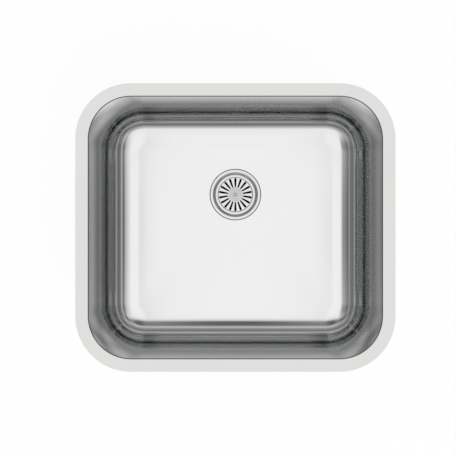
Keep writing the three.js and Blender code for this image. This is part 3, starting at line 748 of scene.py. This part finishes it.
def bridged(bm, loops):
    """Close a stack of loops on itself."""
    for low, high in zip(loops, loops[1:] + loops[:1]):
        bmesh.ops.bridge_loops(bm, edges=low + high)
    face_outwards(bm)


def make_nut(name, rings, node, edge_width):
    bm = bmesh.new()
    bridged(bm, [round_loop(bm, *ring) for ring in rings])
    lay_round(bm, 0.25)
    nut = make_piece(name, bm, "sink", [node], [nut_plating])
    soften(nut, edge_width, 28.0)
    report(nut)


print("a loop of a large nut has", ROUND_STEPS, "corners")

# %% Lock nut and coupling nut
make_nut("lugged_lock_nut", [
    (40.8, -251.1),
    (45.8, -251.1, 8, 4.5),
    (45.8, -240.6, 8, 4.5),
    (54.0, -240.6),
    (54.0, -238.1),
    (40.8, -238.1),
], "lock_nut", 0.0005)
make_nut("lugged_coupling", [
    (19.3, -301.5),
    (27.3, -301.5, 6, 3.0),
    (27.3, -280.6, 6, 3.0),
    (23.3, -280.6),
    (23.3, -298.5),
    (19.3, -298.5),
], "coupling_nut", 0.0006)

# %% [markdown]
# ## Basket
# The basket is a shallow dish with a slotted plate. The dish is turned like the other pieces. The slots are
# punched: one peg with round ends is shaped as the hull of two circles, spun in copies round the axis, and
# taken away from the dish by a Boolean modifier, whose result is kept as the mesh.

# %% Dish and slot cutter
RIM_UNDER = STRAINER_TOP - 6.0 + 0.3
PLATE_UNDER = RIM_UNDER - 1.6
DISH_SHEET = 0.9
PLATE_TOP = PLATE_UNDER + DISH_SHEET
PLATE_R, DISC_R = 36.7, 15.6
SLOT_COUNT, SLOT_END_STEPS = 18, 20
dish_section = [
    (42.4, RIM_UNDER + DISH_SHEET, 0.4),
    (37.6, RIM_UNDER + DISH_SHEET, 0.7),
    (PLATE_R, PLATE_TOP, 0.5),
    (DISC_R, PLATE_TOP, 0.0),
    (3.4, PLATE_TOP, 0.25),
    (3.4, PLATE_UNDER, 0.25),
    (PLATE_R + 0.45, PLATE_UNDER, 0.7),
    (38.05, RIM_UNDER, 0.5),
    (42.4, RIM_UNDER, 0.3),
]


def slot_cutters():
    """Eighteen tapered pegs with round ends, standing through the plate."""
    bm = bmesh.new()
    inner, outer, narrow, wide = millimetres(DISC_R + 0.4, PLATE_R - 0.8, 1.6, 2.48)
    low, high = millimetres(PLATE_UNDER - 0.9, PLATE_UNDER + 1.8)
    for radius, reach in ((wide, outer - wide), (narrow, inner + narrow)):
        place = Matrix.Translation((0.0, reach, low))
        bmesh.ops.create_circle(bm, segments=SLOT_END_STEPS, radius=radius, matrix=place)
    hull = bmesh.ops.convex_hull(bm, input=bm.verts[:])
    bmesh.ops.delete(bm, geom=list(set(hull["geom_interior"])), context="VERTS")
    bmesh.ops.dissolve_limit(bm, angle_limit=0.02, verts=bm.verts[:], edges=bm.edges[:])
    pushed = bmesh.ops.extrude_face_region(bm, geom=bm.faces[:], use_keep_orig=True)["geom"]
    bmesh.ops.translate(bm, vec=(0.0, 0.0, high - low), verts=verts_of(pushed))
    bmesh.ops.translate(bm, vec=WASTE_AXIS, verts=bm.verts[:])
    others = SLOT_COUNT - 1
    spun(bm, bm.verts[:] + bm.edges[:] + bm.faces[:], math.tau * others / SLOT_COUNT, others, copies=True)
    bmesh.ops.recalc_face_normals(bm, faces=bm.faces[:])
    return bm


def punched(dish_bm, cutters_bm):
    """The dish with the pegs taken away, as a new bmesh."""
    dish, pegs = shaped_mesh("dish", dish_bm), shaped_mesh("pegs", cutters_bm)
    cut = dish.modifiers.new("punch", "BOOLEAN")
    cut.operation = "DIFFERENCE"
    cut.solver = "EXACT"
    cut.object = pegs
    depsgraph = bpy.context.evaluated_depsgraph_get()
    bm = bmesh.new()
    bm.from_mesh(dish.evaluated_get(depsgraph).to_mesh())
    dish.evaluated_get(depsgraph).to_mesh_clear()
    bpy.data.objects.remove(dish)
    bpy.data.objects.remove(pegs)
    return bm


basket = punched(turned(dish_section), slot_cutters())
lay_round(basket, 0.25)
for face in basket.faces:
    if face.normal.z > 0.9 and (face.calc_center_median() - WASTE_AXIS).xy.length < DISC_R * 0.001:
        face.material_index = 1
basket_dish = make_piece("slotted_basket", basket, "basket", ["basket_shell"],
                         [strainer_steel, disc_steel], 30.0)
soften(basket_dish, 0.00018, 60.0)
report(basket_dish)

# %% [markdown]
# ## Plunger
# The pin stands in the middle of the basket. Under the plate a white cage guides it, and its lower end
# carries the rubber stopper between a plate and a washer, held by a small nut.

# %% Pin, cage and stopper
CAGE_TOP = PLATE_UNDER - 0.3
CAGE_FLOOR = PLATE_UNDER - 11.6
STOPPER = SEAT + 0.3
COLLAR = STOPPER + 5.1
make_turned("lift_pin", [
    (0.0, STOPPER - 5.9, 0.0),
    (1.7, STOPPER - 5.9, 0.3),
    (1.7, COLLAR, 0.2),
    (4.0, COLLAR, 0.3),
    (4.0, COLLAR + 2.0, 0.3),
    (1.7, COLLAR + 2.0, 0.2),
    (1.7, CAGE_FLOOR + 0.15, 0.0),
    (1.2, CAGE_FLOOR + 0.15, 0.0),
    (1.2, CAGE_FLOOR + 1.6, 0.0),
    (1.7, CAGE_FLOOR + 1.6, 0.0),
    (1.7, PLATE_TOP - 3.0, 0.2),
    (2.8, PLATE_TOP - 2.0, 0.3),
    (2.8, PLATE_TOP + 5.0, 0.6),
    (0.0, PLATE_TOP + 5.0, 0.0),
], "plunger", "plunger_pin", pin_steel, 40, 0.02)
make_turned("guide_cage", [
    (6.8, CAGE_TOP, 0.3),
    (6.8, CAGE_FLOOR, 0.6),
    (2.0, CAGE_FLOOR, 0.2),
    (2.0, CAGE_FLOOR - 1.2, 0.3),
    (8.0, CAGE_FLOOR - 1.2, 1.0),
    (8.0, CAGE_TOP, 0.3),
], "cage", "plunger_cage", white_nylon, 56, 0.05)
make_turned("stopper_backing", [
    (2.0, STOPPER + 3.8, 0.15),
    (14.0, STOPPER + 3.8, 0.3),
    (14.0, STOPPER + 4.8, 0.3),
    (2.0, STOPPER + 4.8, 0.15),
], "plunger", "stopper_plate", strainer_steel, 64, 0.1)
make_turned("stopper_rubber", [
    (2.0, STOPPER, 0.3),
    (25.8, STOPPER, 1.0),
    (25.8, STOPPER + 3.5, 1.0),
    (2.0, STOPPER + 3.5, 0.3),
], "plunger", "stopper_disc", black_rubber, 80, 0.15)
make_turned("stopper_underwasher", [
    (2.0, STOPPER - 1.1, 0.15),
    (6.0, STOPPER - 1.1, 0.2),
    (6.0, STOPPER - 0.3, 0.2),
    (2.0, STOPPER - 0.3, 0.15),
], "plunger", "stopper_washer", strainer_steel, 48, 0.04)


# %% Hexagon nut and spring clip
HEX_HOLE_R, HEX_CORNER_R, HEX_STEPS = 2.0, 3.8, 48


def hexagon_nut():
    """Four loops, the outer two pulled in to the flats of a hexagon."""
    bm = bmesh.new()
    low, high = STOPPER - 4.4, STOPPER - 1.4
    rings = ((HEX_HOLE_R, low), (HEX_CORNER_R, low), (HEX_CORNER_R, high), (HEX_HOLE_R, high))
    loops = [round_loop(bm, radius, z, steps=HEX_STEPS) for radius, z in rings]
    apothem = HEX_CORNER_R * 0.001 * math.cos(math.pi / 6)
    for vertex in bm.verts:
        out = (vertex.co - WASTE_AXIS).xy
        if out.length > (HEX_HOLE_R + HEX_CORNER_R) / 2 * 0.001:
            off_flat = (math.atan2(out.y, out.x) + math.pi / 3) % (math.pi / 3) - math.pi / 6
            reach = apothem / math.cos(off_flat) / out.length
            vertex.co.x *= reach
            vertex.co.y = OUTLET_Y + out.y * reach
    bridged(bm, loops)
    lay_round(bm, 0.02)
    return bm


def spring_clip():
    """A flat ring with a mouth of 50 degrees towards +X."""
    bm = bmesh.new()
    low, high = CAGE_FLOOR + 0.3, CAGE_FLOOR + 1.3
    face = drawn_section(bm, [(1.5, low), (4.6, low), (4.6, high), (1.5, high)])
    mouth = math.radians(50.0)
    bmesh.ops.rotate(bm, cent=WASTE_AXIS, matrix=Matrix.Rotation(mouth / 2, 3, "Z"), verts=face.verts[:])
    spun(bm, list(face.verts) + list(face.edges) + [face], math.tau - mouth, 40)
    face_outwards(bm)
    lay_round(bm, 0.03)
    return bm


small_nut = make_piece("hexagon_nut", hexagon_nut(), "plunger", ["stopper_nut"],
                       [pin_steel])
soften(small_nut, 0.0002, 40.0)
report(small_nut)
clip = make_piece("spring_clip", spring_clip(), "plunger", ["plunger_clip"], [pin_steel])
soften(clip, 0.00015, 60.0)
report(clip)

# %% [markdown]
# ## Sound-deadening pads
# Pads of dense rubber are glued to the outside so that the thin sheet doesn't ring. Each is a plate with
# round corners whose outer edge is rolled over. It takes its size and place straight from its CAD node.


# %% Pads from their CAD boxes
PAD_CORNER_R, PAD_EDGE_R = 0.012, 0.0011


def pad(name, node):
    """A plate in the CAD box of its node. A wall's pad also reaches in to the wall, which stands set in."""
    low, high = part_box(node)
    size, middle = high - low, (high + low) / 2
    thin = min(range(3), key=lambda axis: size[axis])
    first, second = [axis for axis in range(3) if axis != thin]
    outside = 1.0 if middle[thin] > 0 and thin != 2 else -1.0
    thickness = size[thin] + (SET_IN if thin != 2 else 0.0)
    bm = bmesh.new()
    round_plate(bm, size[first], size[second], PAD_CORNER_R, 8)
    pushed = bmesh.ops.extrude_face_region(bm, geom=bm.faces[:], use_keep_orig=True)["geom"]
    tops = verts_of(pushed)
    bmesh.ops.translate(bm, vec=(0.0, 0.0, thickness), verts=tops)
    outer = [edge for edge in bm.edges if all(v in tops for v in edge.verts)]
    bevelled(bm, outer, PAD_EDGE_R, 4)
    bonded = middle[thin] + outside * (size[thin] / 2 - thickness)
    for vertex in bm.verts:
        place = Vector((0.0, 0.0, 0.0))
        place[first] = middle[first] + vertex.co.x
        place[second] = middle[second] + vertex.co.y
        place[thin] = bonded + outside * vertex.co.z
        vertex.co = place
    face_outwards(bm)
    piece = make_piece(name, bm, "sink", [node], [deadening_rubber])
    keep_flats(piece)
    report(piece)


for node in sorted(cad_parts):
    if node.endswith("_pad"):
        pad(node.replace("_pad", "_rubber"), node)

# %% [markdown]
# ## Floor and light
# Polished steel shows the room more than itself. The room here is white and lit by one large soft lamp, and
# a pale floor keeps the sink's shadow. Seen from below the floor is clear, so that the underside of the sink
# can be looked at too.


# %% White room and pale floor
ROOM_LIGHT, FLOOR_GLOW = 0.6, 0.95
FLOOR_REACH, FLOOR_GAP = 6.0, 0.0005
WHITE = (1.0, 1.0, 1.0, 1.0)


def seen_rays(tree):
    """1 for what is seen straight, in a shiny surface or through a clear one, and 0 for dull light."""
    rays = add_node(tree, "ShaderNodeLightPath").outputs
    seen = maths(tree, "MAXIMUM", rays["Is Camera Ray"], rays["Is Glossy Ray"])
    return maths(tree, "MAXIMUM", seen, rays["Is Transmission Ray"])


def either(tree, factor, first, second):
    """The first shader where the factor is 0, the second where it is 1."""
    mix = add_node(tree, "ShaderNodeMixShader")
    for source, socket in zip((factor, first, second), mix.inputs):
        join(tree, source, socket)
    return mix.outputs[0]


def white_room():
    """White where it is seen, and a softer white as a light."""
    world = bpy.data.worlds.new("white_room")
    bpy.context.scene.world = world
    world.use_nodes = True
    tree = world.node_tree
    tree.nodes.clear()
    plain = add_node(tree, "ShaderNodeBackground", Color=WHITE, Strength=ROOM_LIGHT)
    white = add_node(tree, "ShaderNodeBackground", Color=WHITE, Strength=1.0)
    shown = either(tree, seen_rays(tree), plain.outputs[0], white.outputs[0])
    join(tree, shown, add_node(tree, "ShaderNodeOutputWorld").inputs["Surface"])


def pale_floor():
    """A dull pale floor that glows where it is seen from above and is clear from below."""
    bm = bmesh.new()
    bmesh.ops.create_grid(bm, x_segments=1, y_segments=1, size=FLOOR_REACH)
    bmesh.ops.translate(bm, vec=(0.0, 0.0, cad_low.z - FLOOR_GAP), verts=bm.verts[:])
    floor = shaped_mesh("studio_floor", bm)
    finish, tree, shader = new_finish("studio_floor")
    shader.inputs["Roughness"].default_value = 0.9
    shader.inputs["Specular IOR Level"].default_value = 0.1
    cloudy = grain(tree, object_place(tree), 3.0, 2.0)
    join(tree, two_tones(tree, cloudy, (0.9, 0.9, 0.9), (0.92, 0.92, 0.92)), shader.inputs["Base Color"])
    white = add_node(tree, "ShaderNodeEmission", Strength=1.0)
    glow_share = maths(tree, "MULTIPLY", seen_rays(tree), FLOOR_GLOW)
    top = either(tree, glow_share, shader.outputs[0], white.outputs[0])
    clear = add_node(tree, "ShaderNodeBsdfTransparent")
    below = add_node(tree, "ShaderNodeNewGeometry").outputs["Backfacing"]
    both = either(tree, below, top, clear.outputs[0])
    join(tree, both, tree.nodes["Material Output"].inputs["Surface"])
    floor.data.materials.append(finish)


def soft_light(name, place, size, power):
    """A square lamp that looks at the opening and doesn't show in the steel."""
    data = bpy.data.lights.new(name, "AREA")
    data.shape = "SQUARE"
    data.size = size
    data.energy = power
    lamp = bpy.data.objects.new(name, data)
    lamp.location = place
    lamp.rotation_euler = Vector(place).to_track_quat("Z", "Y").to_euler()
    lamp.visible_glossy = False
    bpy.context.scene.collection.objects.link(lamp)


white_room()
pale_floor()
soft_light("overhead_softbox", place=(0.8, -1.2, 3.0), size=2.0, power=66.0)
print("room, floor and light are ready")

# %% [markdown]
# ## What the steel reflects
# In an all-white room a steel bowl looks like white plastic. A photographer hangs grey cloth round shiny
# metal, out of the camera's sight, and leaves it open overhead: the floor of the bowl then mirrors the
# white opening, the walls fall dark, and lighter seams in the cloth run round the foot of the bowl as thin
# bright lines. Only shiny surfaces see this cloth. It could be four flat sheets; half a sphere whose tone
# follows the height over the horizon, worked out for each of the four sides, is one piece and has no gaps.
# A white frame lies close over the flange, so that the flange mirrors white as well.

# %% Grey cloth with light seams
CLOTH_REACH = 12.0
# Each side lists (degrees above the horizon, tone of the cloth there).
CLOTH = {
    "right": [(0, 0.03), (9, 0.03), (14, 0.24), (22, 0.28), (26, 0.44), (30, 0.21), (37, 0.16), (44, 0.18),
              (50, 0.18), (56, 0.38), (60, 0.48), (65, 0.36), (69, 0.10), (71, 0.12), (74.5, 0.58),
              (79, 0.74), (83, 0.97), (85, 1.0)],
    "left": [(0, 0.18), (14, 0.27), (21, 0.28), (27, 0.38), (31, 0.24), (36, 0.16), (42, 0.20),
             (49, 0.18), (54, 0.26), (60, 0.38), (66, 0.14), (70, 0.16), (75, 0.28), (79.2, 0.28),
             (80.7, 0.72), (82, 1.0)],
    "front": [(0, 0.24), (9, 0.20), (17, 0.52), (24, 0.40), (31, 0.26), (40, 0.20), (45, 0.26), (52, 0.44),
              (59, 0.62), (63, 0.68), (68, 0.97), (70, 1.0)],
    "rear": [(0, 0.28), (10, 0.30), (17, 0.48), (21, 0.46), (26, 0.64), (31, 0.36), (41, 0.18), (46, 0.28),
             (54, 0.36), (60, 0.54), (65, 0.62), (71, 0.12), (76.5, 0.07), (79.8, 0.82), (83, 0.98),
             (85, 1.0)],
}


def glowing(item, finish, tree, colour):
    """Let an item shine with a colour. Only shiny surfaces see it."""
    glow = add_node(tree, "ShaderNodeEmission", Strength=1.0)
    join(tree, colour, glow.inputs["Color"])
    join(tree, glow.outputs[0], tree.nodes["Material Output"].inputs["Surface"])
    item.data.materials.append(finish)
    item.visible_camera = False
    item.visible_diffuse = False
    item.visible_shadow = False
    item.visible_transmission = False


def cloth_tone(tree, height, stops):
    """A grey that follows the height over the horizon."""
    ramp = add_node(tree, "ShaderNodeValToRGB")
    ramp.color_ramp.interpolation = "EASE"
    points = ramp.color_ramp.elements
    while len(points) < len(stops):
        points.new(0.5)
    for point, (degrees, tone) in zip(points, stops):
        point.position = degrees / 90.0
        point.color = (tone, tone, tone, 1.0)
    join(tree, height, ramp.inputs["Fac"])
    return ramp.outputs["Color"]


def mixed(tree, factor, first, second):
    """A colour between two colours."""
    node = add_node(tree, "ShaderNodeMix", data_type="RGBA")
    join(tree, factor, node.inputs["Factor"])
    join(tree, first, node.inputs["A"])
    join(tree, second, node.inputs["B"])
    return node.outputs["Result"]


def grey_cloth():
    """Half a sphere round the sink, lit by its own tones."""
    bm = bmesh.new()
    bmesh.ops.create_uvsphere(bm, u_segments=96, v_segments=64, radius=CLOTH_REACH)
    low = [vertex for vertex in bm.verts if vertex.co.z < -0.01]
    bmesh.ops.delete(bm, geom=low, context="VERTS")
    cloth = shaped_mesh("grey_cloth", bm)
    cloth.data.shade_smooth()
    finish, tree, _ = new_finish("grey_cloth")
    parts = add_node(tree, "ShaderNodeSeparateXYZ")
    join(tree, object_place(tree), parts.inputs[0])
    x, y, z = parts.outputs
    across, along = maths(tree, "ABSOLUTE", x), maths(tree, "ABSOLUTE", y)
    whole = maths(tree, "MULTIPLY_ADD", y, y, maths(tree, "MULTIPLY", x, x))
    sideways = maths(tree, "DIVIDE", maths(tree, "MULTIPLY", x, x), maths(tree, "MAXIMUM", whole, 0.0001))
    tones = {}
    for side, stops in CLOTH.items():
        out = across if side in ("left", "right") else along
        climb = maths(tree, "MULTIPLY", maths(tree, "ARCTAN2", z, out), 2.0 / math.pi)
        tones[side] = cloth_tone(tree, climb, stops)
    ends = mixed(tree, maths(tree, "GREATER_THAN", x, 0.0), tones["left"], tones["right"])
    depths = mixed(tree, maths(tree, "GREATER_THAN", y, 0.0), tones["front"], tones["rear"])
    glowing(cloth, finish, tree, mixed(tree, sideways, depths, ends))


def white_frame():
    """A white frame just above the flange, as large as the flange and a little more."""
    over, height = millimetres(4, 6)
    bm = bmesh.new()
    round_plate(bm, FLANGE_LENGTH + 2 * over, FLANGE_BREADTH + 2 * over,
                OPENING_CORNER_R + FLANGE_WIDTH + over, CORNER_STEPS)
    bmesh.ops.translate(bm, vec=(0.0, 0.0, height), verts=bm.verts[:])
    bm.faces.ensure_lookup_table()
    middle = bm.faces[0]
    inset(bm, middle, over + FLANGE_WIDTH)
    bmesh.ops.delete(bm, geom=[middle], context="FACES_ONLY")
    card = shaped_mesh("white_frame", bm)
    finish, tree, _ = new_finish("white_frame")
    clouds = grain(tree, object_place(tree), 3.0, 2.0)
    glowing(card, finish, tree, two_tones(tree, clouds, (0.97, 0.97, 0.96), (1.0, 1.0, 0.995)))


grey_cloth()
white_frame()
print("the cloth and the white frame are up")
